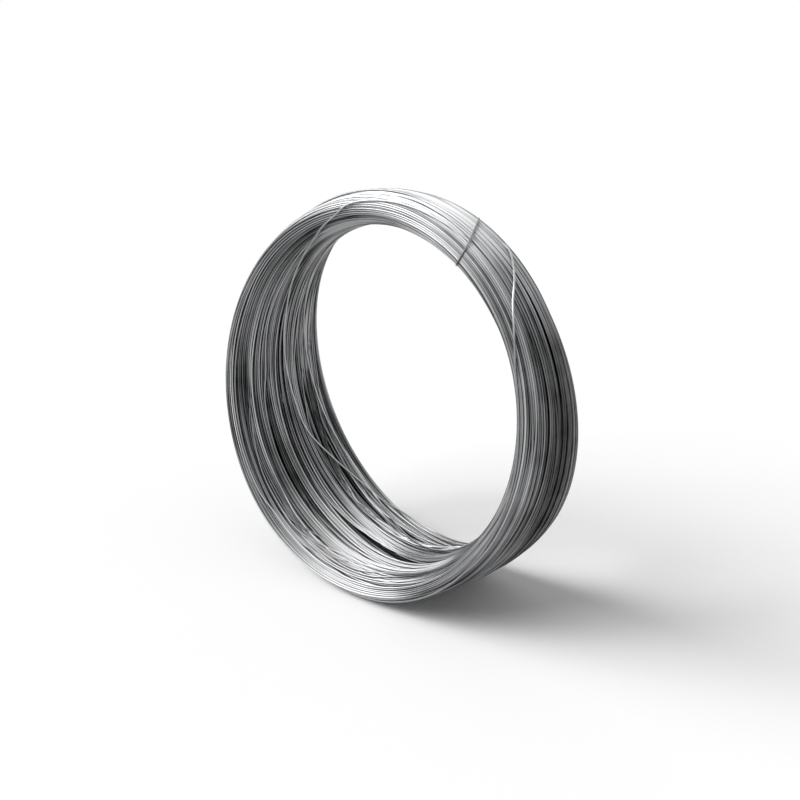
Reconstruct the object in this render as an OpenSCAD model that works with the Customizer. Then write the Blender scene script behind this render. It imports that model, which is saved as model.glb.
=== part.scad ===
// Coil of galvanized wire: one long wire wound round and round, held by one tie.
// The turns lie tight under the tie and spread apart opposite it.
// Modelled with the coil's axis on Z, then stood on its rim with the axis along Y.

/* [Wire] */
// Diameter of the galvanized wire
wire_d = 1.4; // [1.2:0.1:2.4]
// Gap between neighbouring turns on the ends of the coil
turn_gap = 0.15; // [0.05:0.05:0.4]

/* [Coil] */
// Diameter of the bore
bore_d = 228; // [180:1:320]
// Mean depth of the winding, from the bore to the outside
build = 22; // [18:0.5:32]
// How far the bore lies to the left of the rim's centre
bore_left = 6.2; // [0:0.1:7]
// How far the bore lies below the rim's centre
bore_drop = 2.5; // [0:0.1:4]
// Width of the coil under the tie
tie_width = 38; // [32:1:60]
// Width of the coil opposite the tie, where the turns spread
spread_width = 110; // [70:1:140]
// Radius of the crown across the outside
crown_r = 250; // [150:5:500]
// How much fuller the rounded ends are than half the winding's depth
end_fullness = 2; // [1.6:0.1:4]

/* [Tie] */
// Diameter of the tie wire
tie_d = 1.2; // [0.8:0.1:1.6]
// Place of the tie round the rim, up from +X
tie_angle = 60; // [30:1:90]
// Lean of the tie across the turns
tie_lean = 28; // [0:1:32]
// How deep the tie lies below the outside of the turns
tie_bite = 0.1; // [0:0.05:0.4]
// Clearance between the tie and the turns
tie_clear = 0.15; // [0.05:0.05:0.3]
// Length of the twisted ends of the tie
twist_l = 14; // [8:1:24]
// Place of the twist round the section, from the bore towards the far end
twist_angle = 50; // [40:1:60]

/* [Hidden] */
$fn = 96;
bore_r = bore_d / 2;
outer_r = bore_r + build;
mid_r = bore_r + build / 2;                             // middle of the winding
bore_shift = sqrt(bore_left * bore_left + bore_drop * bore_drop);
tilt = asin((spread_width - tie_width) / (4 * mid_r));  // each end leans this much from square
end_r = (build + bore_shift) / 2 + end_fullness;        // rounding of each end
ridge_r = end_r - wire_d / 2;                           // the end turns' wires are centred here
neck = ridge_r - wire_d / 2;
flare = 20;                                             // an end's blank widens away from it
blank_l = 2 * spread_width;
turn_step = (wire_d + turn_gap) / ridge_r * 180 / PI;   // angle between the turns on an end
spread_pull = 2 * mid_r * (1 - cos(tilt));              // the spread turns lie this much further in
end_depth = (build - bore_shift) / 2 - spread_pull - wire_d / 2;
turns_half = floor(end_depth / (wire_d + turn_gap));    // turns each side of the middle one
tie_depth = round(10 * (build + bore_left * cos(tie_angle) + bore_drop * sin(tie_angle))) / 10;
tie_z = tie_width / 2 - end_r;                          // centre of the end rounding, at the tie
loop_half = round(10 * tie_width / 2 / cos(tie_lean)) / 10;
loop_z = loop_half - tie_depth / 2;                     // centre of the tie's bends
loop_r = tie_depth / 2 - tie_d / 2 - tie_bite;
pinch_r = tie_d + tie_bite + tie_clear;                 // the tie pinches the turns this deep
twist_d = 2 * tie_d;
twist_neck = 0.9 * twist_d;
twist_sag = twist_l * twist_l / (2 * bore_r);
twist_out = loop_r + end_fullness + twist_d + 2 * twist_sag;

// stands the coil on its rim, with its axis level
module on_rim()
    translate([0, 0, outer_r])
        rotate([90, 0, 0])
            children();

// the middle of the winding's section under the tie, with +X outwards
module at_tie()
    translate([-bore_left / 2, -bore_drop / 2, 0])
        rotate([0, 0, tie_angle])
            translate([mid_r, 0, 0])
                children();

// one end's outline: it is rounded, shows its turns and widens away from the end
module end_profile() {
    circle(ridge_r);
    polygon([
        [-neck, 0],
        [-neck - blank_l * tan(flare), -blank_l],
        [neck + blank_l * tan(flare), -blank_l],
        [neck, 0]
    ]);
    for (k = [-turns_half : turns_half])
        rotate(k * turn_step)
            translate([0, ridge_r])
                circle(d = wire_d);
}

// one end, turned about its own axis, which leans with the spread turns
module end_blank()
    at_tie()
        translate([0, 0, tie_z])
            rotate([0, tilt, 0])
                translate([-mid_r, 0, 0])
                    rotate_extrude()
                        translate([mid_r, 0])
                            end_profile();

// the crowned outside of one half of the winding, from its middle plane to one end
module crowned_outside()
    rotate_extrude()
        intersection() {
            translate([outer_r - crown_r, 0])
                circle(crown_r);
            translate([bore_r / 2, 0])
                square([outer_r, spread_width]);
        }

module half_winding()
    difference() {
        intersection() {
            crowned_outside();
            end_blank();
        }
        translate([-bore_left, -bore_drop, 0])
            cylinder(r = bore_r, h = 2 * spread_width, center = true);
    }

// the tie's own plane, which leans across the turns
module across_turns()
    at_tie()
        rotate([tie_lean, 0, 0])
            children();

// a closed loop round the section under the tie, of round wire of radius wire_r
module loop(bend_r, wire_r)
    across_turns() {
        for (end = [0, 1])
            mirror([0, 0, end])
                translate([0, 0, loop_z])
                    rotate([90, 0, 0])
                        rotate_extrude(angle = 180)
                            translate([bend_r, 0])
                                circle(wire_r);
        for (side = [-1, 1])
            translate([side * bend_r, 0, -loop_z])
                cylinder(r = wire_r, h = 2 * loop_z);
    }

// the way out of the section for the tie's twisted ends, over the far end's inner shoulder
module at_twist()
    across_turns()
        translate([0, 0, -loop_z])
            rotate([0, 90 - twist_angle, 0])
                rotate([180, 0, 0])
                    children();

module wire_coil()
    color("silver")
        on_rim()
            difference() {
                union() {
                    half_winding();
                    mirror([0, 0, 1])
                        half_winding();
                }
                loop(tie_depth / 2, pinch_r);
                at_twist()
                    translate([0, 0, loop_r / 2])
                        cylinder(d = twist_d + 2 * tie_clear, h = end_r);
            }

module tie_wire()
    color("dimgray")
        on_rim() {
            loop(loop_r, tie_d / 2);
            at_twist()
                translate([0, 0, loop_r])
                    cylinder(d = twist_neck, h = twist_out - loop_r);
            across_turns()
                translate([
                    -cos(twist_angle) * twist_out,
                    0,
                    -loop_z - sin(twist_angle) * twist_out
                ])
                    rotate([90 - tie_lean, 0, 0])
                        translate([0, 0, -twist_d / 2])
                            cylinder(d = twist_d, h = twist_l);
        }

wire_coil();
tie_wire();
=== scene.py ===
import math

import bmesh
import bpy
import numpy as np
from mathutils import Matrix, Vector


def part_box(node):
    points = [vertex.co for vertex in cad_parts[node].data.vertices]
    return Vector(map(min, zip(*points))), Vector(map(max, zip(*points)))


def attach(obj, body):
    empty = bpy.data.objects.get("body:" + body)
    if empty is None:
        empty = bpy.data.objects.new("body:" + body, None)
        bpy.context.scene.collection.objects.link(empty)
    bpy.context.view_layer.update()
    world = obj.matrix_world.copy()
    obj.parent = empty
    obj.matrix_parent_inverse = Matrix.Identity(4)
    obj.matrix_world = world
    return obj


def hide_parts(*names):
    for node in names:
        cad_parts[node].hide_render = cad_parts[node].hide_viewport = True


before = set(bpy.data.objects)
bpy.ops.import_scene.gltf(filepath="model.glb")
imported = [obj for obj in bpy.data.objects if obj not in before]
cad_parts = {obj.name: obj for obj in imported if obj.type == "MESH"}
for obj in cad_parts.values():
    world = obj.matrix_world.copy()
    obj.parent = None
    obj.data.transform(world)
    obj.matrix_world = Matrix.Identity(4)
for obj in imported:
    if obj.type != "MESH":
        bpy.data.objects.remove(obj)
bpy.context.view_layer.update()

# where the coil stands: its axis runs along Y through coilCentre, and angles round it start at +X and go up
low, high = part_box("wire_coil")
rimRadius = (high[0] - low[0]) / 2
coilCentre = Vector(((low[0] + high[0]) / 2, (low[1] + high[1]) / 2, low[2] + rimRadius))
tieAngle = math.radians(60)
boreSide, outerSide = -1, 1  # the winding's two faces, as the sign of a place in depth


def smoothStep(x):
    x = np.clip(x, 0, 1)
    return x * x * (3 - 2 * x)


def rising(x, start, length):
    # 0 up to the start, then eased up to 1 over that length
    return smoothStep((x - start) / length)


def ringPlace(angle, across, radius):
    # a place in space, from its angle, its place along the axis and its distance from the axis
    x = coilCentre.x + radius * np.cos(angle)
    z = coilCentre.z + radius * np.sin(angle)
    return np.stack([x, coilCentre.y + across, z], axis=-1)


winding = {
    "turns": 330,
    "stations": 160,  # points a turn
    "wire": 0.0014,
    "sides": 6,
    "pieces": 4,  # the wire is cut into this many meshes
    "meanWidth": 0.0365,  # half the width of the winding, on average
    "spread": 0.0187,  # how much wider it is opposite the tie, and narrower under it
    "meanDepth": 0.011,  # half its depth, on average
    "boreOffset": (-0.0050, -0.0020),  # the bore against the rim, X and Z
    "rise": 0.0033,  # the two ends stand this much further out than the middle
    "roundness": 1.7,  # power of the section's outline: 2 makes an ellipse
    "squeeze": 0.9,  # what the tie adds to that, which makes the section boxier
    "squeezeReach": 0.06,  # how far round from the tie, as 1 less the cosine
    "layers": 15,
    "scatter": (0.02, 0.03),  # of the laid turns, across and in depth
    "crossing": (0.1, 0.8),  # when in each turn the wire heads for the next one's place, and for how long
    "toFaces": 0.45,  # how much the loose turns lie towards the faces of the section
    "middle": 0.05,  # keeps the turns in the very middle from being thrown right out
    "bunching": 0.55,  # how much the loose turns gather in bundles
    "bunches": ((2.3, 1.0), (4.1, 0.7), (7.3, 0.6)),  # bundles from the middle to an end, and their share
    "bunchEdge": 0.35,  # the bundles fade out this near to the two ends
    "wander": (1.5, 0.8),  # how far the bundles shift to and fro, once and twice a turn
    "anyPhase": 6.3,  # the range of random phases, about a whole turn
    "drift": 0.45,  # how far the turns in the bore swing over towards the near end
    "driftAt": 5.38,  # the angle where they do so most, in radians
    "driftReach": 0.96,  # and how far round on each side they do it at all
    "driftDepth": (0.6, 0.8),  # how readily a turn midway does so, and how that falls towards the outside
    "sway": 0.035,  # slow and quick swings of the wire across, and its swings in depth
    "ripple": 0.008,
    "heave": 0.035,
    "rippleKnots": 3,  # a turn
    "heaveKnots": 2,
    "noise": 0.6,  # how far the knots of those swings stray
    "seed": 7,
}


def halfWidth(angle):
    return winding["meanWidth"] - winding["spread"] * np.cos(angle - tieAngle) - winding["wire"] / 2


def halfDepth(angle):
    offX, offZ = winding["boreOffset"]
    return winding["meanDepth"] - (offX * np.cos(angle) + offZ * np.sin(angle)) / 2 - winding["wire"] / 2


def fullness(angle):
    # the section is boxier where the tie squeezes it
    squeezed = np.exp(-((np.cos(angle - tieAngle) - 1) / winding["squeezeReach"]) ** 2)
    return winding["roundness"] + winding["squeeze"] * squeezed


def looseness(angle):
    return (1 - np.cos(angle - tieAngle)) / 2  # 0 under the tie, 1 opposite it


def toSpace(angle, across, depthPlace):
    ends = winding["rise"] * (across / (halfWidth(angle) + winding["wire"] / 2)) ** 2
    radius = rimRadius - halfDepth(angle) - winding["wire"] / 2 + depthPlace + ends
    return ringPlace(angle, across, radius)


def smoothNoise(rng, count, knots):
    # even noise of about -1 to 1 along the wire: a smooth curve through that many knots
    values = rng.normal(0, winding["noise"], knots + 4)
    x = np.linspace(1, knots + 1, count)
    i = np.floor(x).astype(int)
    f = x - i
    a, b, c, d = values[i - 1], values[i], values[i + 1], values[i + 2]
    return b + 0.5 * f * (c - a + f * (2 * a - 5 * b + 4 * c - d + f * (3 * (b - c) + d - a)))


def layTurns(rng):
    # one place in the section for each turn: layers from the bore outwards, laid to and fro
    layers, turns = winding["layers"], winding["turns"]
    scatterAcross, scatterDepth = winding["scatter"]
    mids = (np.arange(layers) + 0.5) / layers * 2 - 1
    reach = np.sqrt(1 - mids ** 2)
    ends = np.round(np.cumsum(reach / reach.sum()) * turns).astype(int)
    spots = []
    for i in range(layers):
        count = ends[i] - len(spots)
        across = np.linspace(-reach[i], reach[i], count) * (1 if i % 2 else -1)
        for a in across:
            spots.append((a + rng.normal(0, scatterAcross), mids[i] + rng.normal(0, scatterDepth)))
    return np.array(spots)


def drifted(share, angle, inBore):
    # low in the bore the turns swing over towards the near end: share is how far towards it a turn lies
    swing = np.cos(np.clip((angle - winding["driftAt"]) / winding["driftReach"], -1, 1) * np.pi / 2) ** 2
    return share + winding["drift"] * swing * (1 - share ** 2) * inBore


def bunch(across, angle, rng):
    # the loose turns gather in bundles that shift as they go round
    for count, share in winding["bunches"]:
        phase = rng.uniform(0, winding["anyPhase"])
        for times, wander in enumerate(winding["wander"], 1):
            phase = phase + wander * np.sin(times * angle + rng.uniform(0, winding["anyPhase"]))
        inside = smoothStep((1 - np.abs(across)) / winding["bunchEdge"])
        shift = share * looseness(angle) * inside / (2 * np.pi * count)
        across = across + winding["bunching"] * shift * np.sin(2 * np.pi * count * across + phase)
    return across


# long openings under loose bundles, each with its start and end in degrees, how far towards the near end
# it lies at each, its half width, how many degrees it leans, and the face that it opens on
slots = [
    (230, 338, 0.165, 0.17, 0.0048, 25, boreSide),
    (216, 268, -0.49, -0.52, 0.0016, 36, boreSide),
    (240, 284, -0.74, -0.60, 0.0020, 30, boreSide),
    (250, 286, -0.88, -0.68, 0.0010, 28, boreSide),
    (226, 262, 0.61, 0.63, 0.0011, 35, boreSide),
    (196, 240, 0.72, 0.76, 0.0008, 42, boreSide),
    (160, 228, -0.26, -0.32, 0.0008, 45, boreSide),
    (128, 160, 0.91, 0.86, 0.0009, 45, boreSide),
    (196, 246, -0.74, -0.82, 0.0010, 40, boreSide),
    (186, 240, -0.08, -0.10, 0.0009, 42, boreSide),
    (284, 340, -0.06, 0.05, 0.0013, 25, boreSide),
    (278, 334, -0.36, -0.26, 0.0011, 25, boreSide),
    (-24, 30, 0.66, 0.76, 0.0010, 45, outerSide),
    (-45, 18, 0.52, 0.42, 0.0009, 45, outerSide),
    (-12, 32, 0.95, 0.93, 0.0009, 45, outerSide),
    (-35, 44, 0.16, -0.04, 0.0012, 45, outerSide),
    (-60, 22, -0.12, -0.24, 0.0012, 45, outerSide),
    (-75, -5, 0.30, 0.22, 0.0009, 40, outerSide),
    (5, 50, 0.36, 0.30, 0.0007, 45, outerSide),
]
slotShape = {
    "bluntness": 0.8,  # power of the half width's curve from end to end: less is blunter
    "judged": (-0.004, 0.016),  # a turn's side is judged from here outside the mouth to here inside it
    "undecided": 0.2,  # turns nearer than this to the middle, in half widths, may cross
    "depth": (0.005, 4),  # a length, and half widths on top of it
    "mouth": 2.5,  # how far it bulges out of the surface, in half widths
    "least": 1e-6,  # and a trifle, where a slot has closed
    "hold": 2.5,  # turns further off than this, in half widths, are let be
}


def planSlots(place, angle, width, depth, power):
    # for each opening: its stations, the place of its mouth, its half width and the side each turn keeps to
    plans = []
    judgedFrom, judgedTo = slotShape["judged"]
    for start, end, shareAtStart, shareAtEnd, half, lean, face in slots:
        along = np.mod(np.degrees(angle) - start, 360) / (end - start)
        at = np.nonzero(along < 1)[0]
        along = along[at]
        line = -drifted(shareAtStart + (shareAtEnd - shareAtStart) * along, angle[at], face == boreSide)
        surface = depth[at] * (1 - np.abs(line) ** power[at]) ** (1 / power[at])
        line = line * width[at]
        opening = half * np.sin(np.pi * along) ** slotShape["bluntness"]
        plan = {"at": at, "line": line[:, None], "surface": surface[:, None], "opening": opening[:, None]}
        plan["lean"], plan["face"] = math.radians(lean), face
        inward, beside = inSlot(place, plan)
        mean = np.where((inward > judgedFrom) & (inward < judgedTo), beside, 0).mean(axis=0)
        plan["keep"] = np.sign(mean) * (np.abs(mean) > slotShape["undecided"] * half)
        plans.append(plan)
    return plans


def inSlot(place, plan):
    # how far into a slot each turn is, and how far above its middle
    at, lean = plan["at"], plan["lean"]
    off = place[at, :, 0] - plan["line"]
    height = plan["face"] * place[at, :, 1] - plan["surface"]
    return off * math.cos(lean) - height * math.sin(lean), off * math.sin(lean) + height * math.cos(lean)


def keepOpen(place, plans):
    # turns are held above or below each slot; the few that run right along it are left to cross it
    slotDepth, slotDeepening = slotShape["depth"]
    for plan in plans:
        at, opening, lean, keep = plan["at"], plan["opening"], plan["lean"], plan["keep"]
        inward, beside = inSlot(place, plan)
        deep = slotDepth + slotDeepening * opening
        length = np.where(inward > 0, deep, slotShape["mouth"] * opening + slotShape["least"])
        free = opening * np.sqrt(np.clip(1 - (inward / length) ** 2, 0, 1))
        held = (keep != 0) * (np.abs(beside) < slotShape["hold"] * opening)
        lack = np.clip(free - keep * beside, 0, None) * held
        place[at, :, 0] += keep * lack * math.sin(lean)
        place[at, :, 1] += keep * lack * math.cos(lean) * plan["face"]


def keepInside(place, width, depth, power):
    # turns past the section's outline are drawn back onto it
    y, r = place[..., 0], place[..., 1]
    e = np.abs(y / width[:, None]) ** power[:, None] + np.abs(r / depth[:, None]) ** power[:, None]
    e = np.maximum(e ** (1 / power[:, None]), 1)
    place[..., 0] = y / e
    place[..., 1] = r / e


relaxing = {
    "rounds": 110,  # rounds of pushing the turns apart
    "pushes": 2,  # a round
    "sliding": (0.7, 1.0),  # how readily turns that meet move across and in depth
    "climb": 0.15,  # how much the later of two turns tends to the outside
    "searchEvery": 8,  # rounds from one search for close pairs to the next
    "searchReach": 1.9,  # in wires
    "stiffness": 0.35,  # how much the wire straightens itself, twice a round
    "lastStiffness": 0.2,
    "lastRounds": 4,
    "freeRounds": 3,  # the last rounds, which hold no slots open
    "homing": 0.01,  # how much of the way back to its first place a turn goes, each round
    "touching": 1e-9,  # a trifle added to every distance, for turns in one and the same place
}


def pushApart(place, firsts, seconds, wire):
    # turns that meet slide past each other more in depth than across, the later one to the outside
    flat = place.reshape(-1, 2)
    apart = flat[firsts] - flat[seconds]
    distance = np.hypot(apart[:, 0], apart[:, 1]) + relaxing["touching"]
    lack = np.clip(wire - distance, 0, None)
    way = apart * relaxing["sliding"]
    way[:, 1] -= relaxing["climb"] * distance
    way /= (np.hypot(way[:, 0], way[:, 1]) + relaxing["touching"])[:, None]
    move = way * (lack * 0.5)[:, None]  # each of the two goes half the way
    for axis in (0, 1):
        gain = np.bincount(firsts, move[:, axis], len(flat))
        flat[:, axis] += gain - np.bincount(seconds, move[:, axis], len(flat))


def nearPairs(place, reach):
    # turns that lie close together at the same station, the earlier one first
    stations, turns = place.shape[:2]
    upper = np.triu(np.ones((turns, turns), bool), 1)
    firsts, seconds = [], []
    for s in range(stations):
        y, r = place[s, :, 0], place[s, :, 1]
        near = (np.abs(y[:, None] - y) < reach) & (np.abs(r[:, None] - r) < reach) & upper
        i, j = np.nonzero(near)
        firsts.append(i + s * turns)
        seconds.append(j + s * turns)
    return np.concatenate(firsts), np.concatenate(seconds)


def straighten(line, amount):
    # twice, each point goes some of the way to the middle of its neighbours
    for n in range(2):
        line[1:-1] += amount * (line[:-2] + line[2:] - 2 * line[1:-1])


def relaxTurns(place, plans, width, depth, power):
    # pushes the turns apart while the wire stays smooth, the slots open and the section full
    stations, turns = place.shape[:2]
    wanted = place.copy()
    rounds = relaxing["rounds"]
    for step in range(rounds):
        if step % relaxing["searchEvery"] == 0:
            firsts, seconds = nearPairs(place, winding["wire"] * relaxing["searchReach"])
        for n in range(relaxing["pushes"]):
            pushApart(place, firsts, seconds, winding["wire"])
        line = place.transpose(1, 0, 2).reshape(-1, 2)
        early = step < rounds - relaxing["lastRounds"]
        straighten(line, relaxing["stiffness"] if early else relaxing["lastStiffness"])
        place = line.reshape(turns, stations, 2).transpose(1, 0, 2).copy()
        place += relaxing["homing"] * (wanted - place)
        if step < rounds - relaxing["freeRounds"]:
            keepOpen(place, plans)
        keepInside(place, width, depth, power)
    print("winding: turns relaxed,", len(firsts), "close pairs")
    return place.transpose(1, 0, 2).reshape(-1, 2)


def windTurns():
    # angle, place across and place in depth of every point of the turns
    rng = np.random.default_rng(winding["seed"])
    turns, stations = winding["turns"], winding["stations"]
    spots = layTurns(rng)
    total = turns * stations
    t = np.arange(total) / stations
    angle = tieAngle + 2 * np.pi * np.arange(stations) / stations
    every = np.tile(angle, turns)
    # eased from one turn to the next
    k = np.floor(t).astype(int)
    f = rising(t - k, *winding["crossing"])
    path = spots[k] * (1 - f)[:, None] + spots[np.minimum(k + 1, turns - 1)] * f[:, None]
    reach = (path[:, 0] ** 2 + path[:, 1] ** 2 + winding["middle"]) / (1 + winding["middle"])
    path *= (reach ** (-winding["toFaces"] / 2 * looseness(every)))[:, None]
    path[:, 0] = bunch(path[:, 0], every, rng)
    sway = winding["sway"] * smoothNoise(rng, total, turns)
    path[:, 0] += sway + winding["ripple"] * smoothNoise(rng, total, turns * winding["rippleKnots"])
    path[:, 1] += winding["heave"] * smoothNoise(rng, total, turns * winding["heaveKnots"])

    angle = np.mod(angle, 2 * np.pi)
    width, depth, power = halfWidth(angle), halfDepth(angle), fullness(angle)
    place = path.reshape(turns, stations, 2).transpose(1, 0, 2).copy()
    share = np.clip(-place[..., 0], -1, 1)
    midway, fall = winding["driftDepth"]
    inBore = smoothStep(midway - fall * place[..., 1])
    place[..., 0] -= drifted(share, angle[:, None], inBore) - share
    place[..., 0] *= width[:, None]
    place[..., 1] *= depth[:, None]
    plans = planSlots(place, angle, width, depth, power)
    keepOpen(place, plans)
    keepInside(place, width, depth, power)
    line = relaxTurns(place, plans, width, depth, power)
    return tieAngle + 2 * np.pi * t, line[:, 0], line[:, 1]


# the wire's own start: it leaves the tie, crosses the near end and runs loose through the bore, twice round
# each mark has its angle, its way round the section (0 outside, 90 the near end, 180 the bore) and its
# lift off the winding in wires
startMarks = [
    (57, 50, 0.3), (68, 60, 0.9), (90, 75, 1), (101, 92, 1), (105, 106, 1), (113.5, 125, 1.1),
    (124, 146, 1.2), (136, 160, 1.4), (149, 169, 1.7), (160.5, 175, 1.8), (172.5, 178, 1.8),
    (184.5, 182, 1.6), (196, 186, 1.4), (208, 190, 1.3), (223, 208, 1.3), (235.5, 224, 1.3),
    (243.5, 230, 1.4), (251.5, 246, 1.3), (262, 257, 1.2), (290, 240, 1), (330, 215, 0.9),
    (390, 200, 0.4), (440, 196, 0.4), (500, 200, 0.9), (560, 222, 1.2), (590, 229, 1.3),
    (603, 224, 1.4), (615, 212, 1.4), (632, 196, 1.2), (655, 180, 1), (700, 170, 0.6), (760, 172, 0),
]
# its tail: once more round the outside, then slanting across to the far end under the tie
tailMarks = [
    (60, 10, 0.6), (100, 20, 1), (160, 40, 1), (230, 55, 1), (300, 78, 1), (350, 95, 1), (373, 102, 1),
    (380.5, 98, 1), (385.5, 87, 1.1), (391.5, 71, 1.2), (397.5, 49, 1.3), (403, 18, 1.2), (407, -3, 1.1),
    (411, -24, 0.5), (417, -48, -1.5),
]
looseEnds = {
    "startPoints": 4,  # times the points of one full turn
    "tailPoints": 2,
    "join": 0.2,  # the share of each over which it is eased into the turn that it belongs to
}


def onSurface(angle, way, lift):
    # a place that far off the winding's surface
    width, depth, power = halfWidth(angle), halfDepth(angle), fullness(angle)
    y, r = -np.sin(np.radians(way)), np.cos(np.radians(way))
    k = (np.abs(y) ** power + np.abs(r) ** power) ** (-1 / power)
    outY, outR = y / width, r / depth
    size = np.hypot(outY, outR)
    return width * y * k + outY / size * lift, depth * r * k + outR / size * lift


def throughMarks(marks, count):
    # a smooth run through the marks
    marks = np.array(marks, float)
    angle = np.linspace(marks[0, 0], marks[-1, 0], count)
    slopes = np.gradient(marks[:, 1:], marks[:, 0], axis=0)
    i = np.clip(np.searchsorted(marks[:, 0], angle, side="right") - 1, 0, len(marks) - 2)
    gap = (marks[i + 1, 0] - marks[i, 0])[:, None]
    f = ((angle - marks[i, 0])[:, None]) / gap
    value = (marks[i, 1:] * (1 + 2 * f) * (1 - f) ** 2 + slopes[i] * gap * f * (1 - f) ** 2
             + marks[i + 1, 1:] * f ** 2 * (3 - 2 * f) + slopes[i + 1] * gap * f ** 2 * (f - 1))
    return np.radians(angle), value[:, 0], value[:, 1]


def looseEnd(marks, count, meets, atEnd):
    # a run through the marks that ends, or starts, in the place where it meets its turn
    angle, way, lift = throughMarks(marks, count)
    across, depthPlace = onSurface(angle, way, lift * winding["wire"])
    along = np.linspace(0, 1, count)
    join = looseEnds["join"]
    ease = smoothStep((along - (1 - join)) / join) if atEnd else smoothStep((join - along) / join)
    i = -1 if atEnd else 0
    across += ease * (meets[0] - across[i])
    depthPlace += ease * (meets[1] - depthPlace[i])
    return angle, across, depthPlace


tones = {
    "base": 0.46,  # 0 is the dullest wire and 1 the brightest
    "bundle": 0.20,  # how much each bundle's own tone strays
    "bundleSize": (0.006, 0.005, 2.5),  # across, in depth, and patches to the ring's radius
    "stretch": 0.16,  # and each stretch's
    "stretchSize": (0.022, 0.012, 1.3),
    "turn": 0.34,  # and each turn's
    "turnKnots": 2,  # a turn
    "inner": 0.75,  # painted shade: how much darker the turns are made inside the winding
    "innerFrom": (0.18, 0.4),  # from how far in, and over how much
    "far": 0.34,  # painted shade: how much darker the right half is made towards its far end
    "near": 0.20,  # painted light: how much brighter the near end is made low on the left
    "nearAt": 220,  # where on the ring, in degrees
    "nearFrom": (0.65, 0.3),  # from how far towards the near end, and over how much
    "lip": 0.54,  # painted shade: how much darker the near end is made low on the right
    "lipAt": 310,
    "lipTightness": 14,  # a power: more keeps it to a shorter stretch of the ring
    "lipFrom": (0.4, 0.4),
    # painted light and shade added every 30 degrees round the ring, from +X up: lighter at the top and
    # bottom, darker at the sides
    "round": (-0.38, -0.50, 0.09, 0.15, 0.08, -0.08, -0.24, -0.31, -0.13, 0.38, 0.03, -0.07),
    "streakBluntness": 0.7,  # power of a streak's swell from end to end
    "streakFace": 0.004,  # a streak fades from one face to the other over this depth
    "start": 0.75,  # the loose start's tone
    "tail": 0.4,  # the tail's
    "tailBright": 0.45,  # painted highlight: how much brighter its last stretch is made
    "tailFrom": (388, 14),  # from what angle, and over how much
    "seed": 189,
}
# streaks of painted light and shade along bundles, each with its start and end in degrees, how far towards
# the near end it lies at each, its half width, its tone and its face; the last paints light bounced up onto
# the near end's lower outer edge
streaks = [
    (162, 228, 0.62, 0.60, 0.036, 0.62, boreSide),
    (178, 232, 0.76, 0.74, 0.07, -0.16, boreSide),
    (148, 222, -0.42, -0.86, 0.05, 0.32, boreSide),
    (-35, 20, 0.30, 0.42, 0.10, 0.10, outerSide),
    (258, 300, 0.88, 0.88, 0.14, 0.30, outerSide),
]


def softField(rng, *axes):
    # even noise over a few axes, with a knot at each whole number
    whole = [np.floor(a).astype(int) for a in axes]
    whole = [w - w.min() for w in whole]
    part = [smoothStep(a - np.floor(a)) for a in axes]
    knots = rng.normal(0, 1, [w.max() + 2 for w in whole])
    value = 0
    for corner in np.ndindex((2,) * len(axes)):
        weight = 1
        for c, p in zip(corner, part):
            weight = weight * (p if c else 1 - p)
        value = value + weight * knots[tuple(w + c for w, c in zip(whole, corner))]
    return value


def patchTone(rng, angle, across, depthPlace, size):
    wide, deep, patches = size
    return softField(rng, across / wide, depthPlace / deep, patches * np.cos(angle), patches * np.sin(angle))


def roundTone(angle):
    # painted light and shade round the ring
    around = tones["round"]
    place = np.mod(angle, 2 * np.pi) / (2 * np.pi) * len(around)
    return np.interp(place, np.arange(len(around) + 1), around + around[:1])


def facing(angle, degrees):
    # 1 at that place on the ring, and 0 on the other half of it
    return np.clip(np.cos(angle - math.radians(degrees)), 0, 1)


def streakTone(angle, nearShare, depthPlace):
    # painted highlights and shade along the bundles
    tone = np.zeros_like(angle)
    for start, end, shareAtStart, shareAtEnd, half, gain, face in streaks:
        along = np.clip(np.mod(np.degrees(angle) - start, 360) / (end - start), 0, 1)
        line = shareAtStart + (shareAtEnd - shareAtStart) * along
        onFace = smoothStep(0.5 + face * depthPlace / tones["streakFace"])
        swell = gain * np.sin(np.pi * along) ** tones["streakBluntness"]
        tone += swell * np.exp(-((nearShare - line) / half) ** 2) * onFace
    return tone


def turnTones(angle, across, depthPlace):
    # each stretch and each bundle has its own tone, and every turn a little of its own; painted light and
    # shade go on top
    rng = np.random.default_rng(tones["seed"])
    bundle = patchTone(rng, angle, across, depthPlace, tones["bundleSize"])
    stretch = patchTone(rng, angle, across, depthPlace, tones["stretchSize"])
    tone = tones["base"] + tones["bundle"] * bundle + tones["stretch"] * stretch
    tone += tones["turn"] * smoothNoise(rng, len(angle), winding["turns"] * tones["turnKnots"])
    # painted shade inside the winding, and painted light and shade from place to place round the ring
    inner = 1 - (np.abs(across / halfWidth(angle)) ** 2 + np.abs(depthPlace / halfDepth(angle)) ** 2) ** 0.5
    tone += roundTone(angle) - tones["inner"] * rising(inner, *tones["innerFrom"])
    nearShare = -across / halfWidth(angle)
    # painted shade, darker towards the far end on the right
    tone += tones["far"] * facing(angle, 0) * nearShare
    # painted light on the near end low on the left
    tone += tones["near"] * facing(angle, tones["nearAt"]) * rising(nearShare, *tones["nearFrom"])
    # painted shade on the near end low on the right
    nearLip = facing(angle, tones["lipAt"]) ** tones["lipTightness"]
    tone -= tones["lip"] * nearLip * rising(nearShare, *tones["lipFrom"])
    return tone + streakTone(angle, nearShare, depthPlace)


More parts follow.
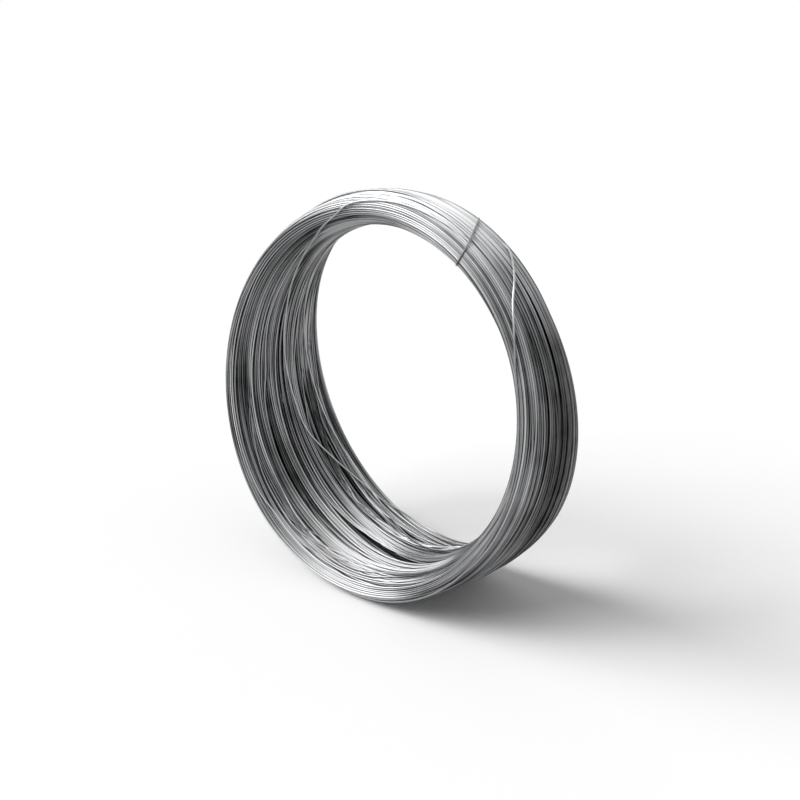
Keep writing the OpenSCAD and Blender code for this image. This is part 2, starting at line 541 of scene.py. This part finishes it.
def windCoil():
    # the points of the whole wire, and the tone of each
    angle, across, depthPlace = windTurns()
    stations = winding["stations"]
    startCount, tailCount = stations * looseEnds["startPoints"], stations * looseEnds["tailPoints"]
    start = [v[:-1] for v in looseEnd(startMarks, startCount, (across[0], depthPlace[0]), True)]
    tail = [v[1:] for v in looseEnd(tailMarks, tailCount, (across[-1], depthPlace[-1]), False)]
    startTone = np.full(len(start[0]), tones["start"])
    # the tail's last stretch carries a painted highlight
    tailTone = tones["tail"] + tones["tailBright"] * rising(np.degrees(tail[0]), *tones["tailFrom"])
    tone = np.concatenate([startTone, turnTones(angle, across, depthPlace), tailTone])
    points = np.concatenate([toSpace(*start), toSpace(angle, across, depthPlace), toSpace(*tail)])
    return points, np.clip(tone, 0, 1)


def tube(name, points, radius, sides, shade):
    # a round wire through the points, as one closed mesh
    curve = bpy.data.curves.new(name, "CURVE")
    curve.dimensions = "3D"
    curve.bevel_depth = radius
    curve.bevel_resolution = (sides - 4) // 2  # Blender adds two sides for each step up from four
    curve.use_fill_caps = True
    curve.twist_mode = "MINIMUM"
    spline = curve.splines.new("POLY")
    spline.points.add(len(points) - 1)
    four = np.ones((len(points), 4))
    four[:, :3] = points
    spline.points.foreach_set("co", four.ravel())
    holder = bpy.data.objects.new(name, curve)
    bpy.context.collection.objects.link(holder)
    mesh = bpy.data.meshes.new_from_object(holder.evaluated_get(bpy.context.evaluated_depsgraph_get()))
    bpy.data.objects.remove(holder)
    mesh.name = name
    mesh.materials.clear()
    piece = bpy.data.objects.new(name, mesh)
    bpy.context.collection.objects.link(piece)
    mesh.shade_smooth()
    # each strand's tone, painted light and shade included, for its material: the caps' corners come first,
    # so it runs two points late
    strandTones = mesh.attributes.new("shade", "FLOAT", "POINT")
    capCorners = len(mesh.vertices) - len(points) * sides
    each = np.append(np.repeat(shade, sides), np.full(capCorners, shade[-1]))
    strandTones.data.foreach_set("value", each.astype(np.float32))
    print(name, len(mesh.vertices), "points,", sum(len(f.vertices) - 2 for f in mesh.polygons), "triangles")
    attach(piece, "root")
    return piece


finish = {
    "galvanizedWire": {
        "dark": (0.03, 0.0305, 0.0315, 1),
        "light": (0.46, 0.465, 0.474, 1),
        "roughness": (0.24, 0.38),
    },
    "tieWire": {
        "dark": (0.03, 0.03, 0.031, 1),
        "light": (0.30, 0.303, 0.308, 1),
        "roughness": (0.32, 0.45),
    },
    "patchScale": 60,
    "patchDetail": 3,
    "patchShare": 0.35,  # how much the patches add to a strand's own tone
    "darkestAt": 0.1,
}


def metalMaterial(name):
    # each strand's tone and some soft patches run it from dark to light, and the patches make it rougher
    look = finish[name]
    mat = bpy.data.materials.new(name)
    mat.use_nodes = True
    nodes, links = mat.node_tree.nodes, mat.node_tree.links
    shader = nodes["Principled BSDF"]
    shader.inputs["Metallic"].default_value = 1.0
    coords = nodes.new("ShaderNodeTexCoord")
    tone = nodes.new("ShaderNodeAttribute")
    tone.attribute_name = "shade"
    patches = nodes.new("ShaderNodeTexNoise")
    patches.inputs["Scale"].default_value = finish["patchScale"]
    patches.inputs["Detail"].default_value = finish["patchDetail"]
    links.new(coords.outputs["Object"], patches.inputs["Vector"])
    mix = nodes.new("ShaderNodeMath")
    mix.operation = "MULTIPLY_ADD"
    mix.inputs[1].default_value = finish["patchShare"]
    links.new(patches.outputs["Fac"], mix.inputs[0])
    links.new(tone.outputs["Fac"], mix.inputs[2])
    ramp = nodes.new("ShaderNodeValToRGB")
    ramp.color_ramp.elements[0].position = finish["darkestAt"]
    ramp.color_ramp.elements[0].color = look["dark"]
    ramp.color_ramp.elements[1].position = 1.0
    ramp.color_ramp.elements[1].color = look["light"]
    links.new(mix.outputs[0], ramp.inputs[0])
    links.new(ramp.outputs[0], shader.inputs["Base Color"])
    gloss = nodes.new("ShaderNodeMapRange")
    gloss.inputs["To Min"].default_value, gloss.inputs["To Max"].default_value = look["roughness"]
    links.new(patches.outputs["Fac"], gloss.inputs["Value"])
    links.new(gloss.outputs[0], shader.inputs["Roughness"])
    return mat


wirePoints, shade = windCoil()
zinc = metalMaterial("galvanizedWire")
pieceLength = len(wirePoints) // winding["pieces"]
for n in range(winding["pieces"]):
    first = n * pieceLength
    last = (n + 1) * pieceLength + 1 if n < winding["pieces"] - 1 else len(wirePoints)
    points = wirePoints[first:last]
    piece = tube("wire_turns_%d" % (n + 1), points, winding["wire"] / 2, winding["sides"], shade[first:last])
    piece.data.materials.append(zinc)
    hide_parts("wire_coil")
print("wire made")


tie = {
    "wire": 0.0010,
    "sides": 10,
    "ahead": 1.2,  # degrees further round than the squeeze in the winding
    "lean": 280,  # degrees round the rim for each metre across
    "clear": 0.0009,  # its middle stands this far off the outermost turns' middles
    "under": 0.06,  # how far round on each side the turns under it are looked for, in radians
    "loopPoints": 180,
    "loopGap": 2.5,  # half the gap in the loop where its ends come together, in degrees
    "twistAt": 228,  # way round the section: 0 outside, 90 the near end, 180 the bore
    "twistPitch": 0.0046,
    "twistUp": 0.0035,
    "twistAlong": 0.0105,
    "twistApart": 0.52,  # half the distance from one end's middle to the other's, in wires
    "twistPoints": 70,
    "bendFrom": (0.1, 0.25),  # where along the twist it bends over, and for how long
    "bendShare": 0.94,  # of a right angle
    "softening": 0.25,  # how much the tie straightens itself
    "tone": 0.3,
    "outsideHighlight": 0.35,  # painted highlight: how much brighter the tie is on the outside of the coil
    "outsideHighlightFrom": (-0.010, 0.012),  # from the rim's radius
}


def tieLoop(points):
    # drawn tight round the outermost turns
    around = np.arctan2(points[:, 2] - coilCentre.z, points[:, 0] - coilCentre.x)
    under = points[np.abs(around - tieAngle) < tie["under"]]
    across = under[:, 1] - coilCentre.y
    radius = np.hypot(under[:, 0] - coilCentre.x, under[:, 2] - coilCentre.z)
    start = tie["twistAt"] + tie["loopGap"]
    way = np.radians(np.linspace(start, tie["twistAt"] + 360 - tie["loopGap"], tie["loopPoints"]))
    outY, outR = -np.sin(way), np.cos(way)
    outermost = np.argmax(across * outY[:, None] + radius * outR[:, None], axis=1)
    across = across[outermost] + outY * tie["clear"]
    angle = tieAngle + np.radians(tie["ahead"] + tie["lean"] * across)
    return ringPlace(angle, across, radius[outermost] + outR * tie["clear"])


def twistEnds(loop):
    # the two ends leave the winding together and lie down along the turns
    count = tie["twistPoints"]
    way = math.radians(tie["twistAt"])
    radial = np.array([math.cos(tieAngle), 0, math.sin(tieAngle)])
    axial = np.array([0, 1, 0])
    along = np.array([math.sin(tieAngle), 0, -math.cos(tieAngle)])
    out = math.cos(way) * radial - math.sin(way) * axial
    side = -math.sin(way) * radial - math.cos(way) * axial
    length = tie["twistUp"] + tie["twistAlong"]
    s = np.linspace(0, 1, count)
    bend = rising(s, *tie["bendFrom"]) * math.pi / 2 * tie["bendShare"]
    heading = np.cos(bend)[:, None] * out + np.sin(bend)[:, None] * along
    middle = (loop[0] + loop[-1]) / 2 + np.cumsum(heading, axis=0) * length / count
    across = np.cross(side, heading)
    turn = 2 * np.pi * s * length / tie["twistPitch"]
    off = (np.cos(turn)[:, None] * side + np.sin(turn)[:, None] * across) * tie["wire"] * tie["twistApart"]
    return middle + off, middle - off


loop = tieLoop(wirePoints)
one, other = twistEnds(loop)
tiePoints = np.concatenate([one[::-1], loop, other])
straighten(tiePoints, tie["softening"])
tieRadius = np.hypot(tiePoints[:, 0] - coilCentre.x, tiePoints[:, 2] - coilCentre.z)
# painted highlight on the tie where it runs round the outside of the coil
tieTone = tie["tone"] + tie["outsideHighlight"] * rising(tieRadius - rimRadius, *tie["outsideHighlightFrom"])
tiePiece = tube("tie_loop", tiePoints, tie["wire"] / 2, tie["sides"], tieTone)
tiePiece.data.materials.append(metalMaterial("tieWire"))
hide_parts("tie_wire")
print("tie made")


studio = {
    "floor": 0.98,
    "floorSize": 60,
    "floorShine": 0.1,
    "world": 0.37,  # what the surroundings give to matt surfaces
    "lamps": [  # where each comes from, its strength, and how wide it looks in degrees
        ("rightLamp", (-0.27, -0.68, 0.68), 1.36, 36),
        ("keyLamp", (-0.61, -0.54, 0.58), 1.28, 36),
        ("leftLamp", (-0.85, -0.37, 0.36), 1.1, 36),
    ],
    "cameraDistance": 0.6933,
    "azimuth": 43.7,
    "elevation": 18.35,
    "lens": 45.9,
    "sensor": 36,
    "clip": (0.01, 50),
    "aim": (-0.0026, 0, -0.0014),  # the camera looks this far off the coil's centre
    "aimRight": 0.00375,  # and this far over, as it sees it
    "aimUp": -0.0045,
}


def buildFloor():
    bm = bmesh.new()
    bmesh.ops.create_grid(bm, x_segments=1, y_segments=1, size=studio["floorSize"])
    mesh = bpy.data.meshes.new("floor")
    bm.to_mesh(mesh)
    bm.free()
    floor = bpy.data.objects.new("floor", mesh)
    bpy.context.collection.objects.link(floor)
    mat = bpy.data.materials.new("paleFloor")
    mat.use_nodes = True
    shader = mat.node_tree.nodes["Principled BSDF"]
    level = studio["floor"]
    shader.inputs["Base Color"].default_value = (level, level, level, 1)
    shader.inputs["Specular IOR Level"].default_value = studio["floorShine"]
    shader.inputs["Roughness"].default_value = 1.0
    mesh.materials.append(mat)


def buildWorld():
    # white to the camera, in mirrors and through glass, and dimmer for what it lights
    world = bpy.data.worlds.new("studio")
    bpy.context.scene.world = world
    world.use_nodes = True
    nodes, links = world.node_tree.nodes, world.node_tree.links
    background = nodes["Background"]
    path = nodes.new("ShaderNodeLightPath")
    seen = nodes.new("ShaderNodeMath")
    seen.operation = "MAXIMUM"
    links.new(path.outputs["Is Camera Ray"], seen.inputs[0])
    links.new(path.outputs["Is Glossy Ray"], seen.inputs[1])
    clear = nodes.new("ShaderNodeMath")
    clear.operation = "MAXIMUM"
    links.new(seen.outputs[0], clear.inputs[0])
    links.new(path.outputs["Is Transmission Ray"], clear.inputs[1])
    level = nodes.new("ShaderNodeMapRange")
    level.inputs["To Min"].default_value = studio["world"]
    level.inputs["To Max"].default_value = 1.0
    links.new(clear.outputs[0], level.inputs["Value"])
    background.inputs["Color"].default_value = (1, 1, 1, 1)
    links.new(level.outputs[0], background.inputs["Strength"])


def addSun(name, towards, strength, spread):
    lamp = bpy.data.lights.new(name, "SUN")
    lamp.energy = strength
    lamp.angle = math.radians(spread)
    holder = bpy.data.objects.new(name, lamp)
    bpy.context.collection.objects.link(holder)
    holder.rotation_euler = Vector(towards).to_track_quat("Z", "Y").to_euler()


def addCamera():
    camera = bpy.data.cameras.new("camera")
    camera.sensor_width = studio["sensor"]
    camera.lens = studio["lens"]
    camera.clip_start, camera.clip_end = studio["clip"]
    holder = bpy.data.objects.new("camera", camera)
    bpy.context.collection.objects.link(holder)
    a, e = math.radians(studio["azimuth"]), math.radians(studio["elevation"])
    back = Vector((math.sin(a) * math.cos(e), -math.cos(a) * math.cos(e), math.sin(e)))
    turn = (-back).to_track_quat("-Z", "Y")
    side, up = turn @ Vector((1, 0, 0)), turn @ Vector((0, 1, 0))
    aim = coilCentre + Vector(studio["aim"]) + side * studio["aimRight"] + up * studio["aimUp"]
    holder.location = aim + back * studio["cameraDistance"]
    holder.rotation_euler = turn.to_euler()
    bpy.context.scene.camera = holder


buildFloor()
buildWorld()
for name, towards, strength, spread in studio["lamps"]:
    addSun(name, towards, strength, spread)
addCamera()
bpy.context.scene.view_settings.view_transform = "Standard"
print("studio made")
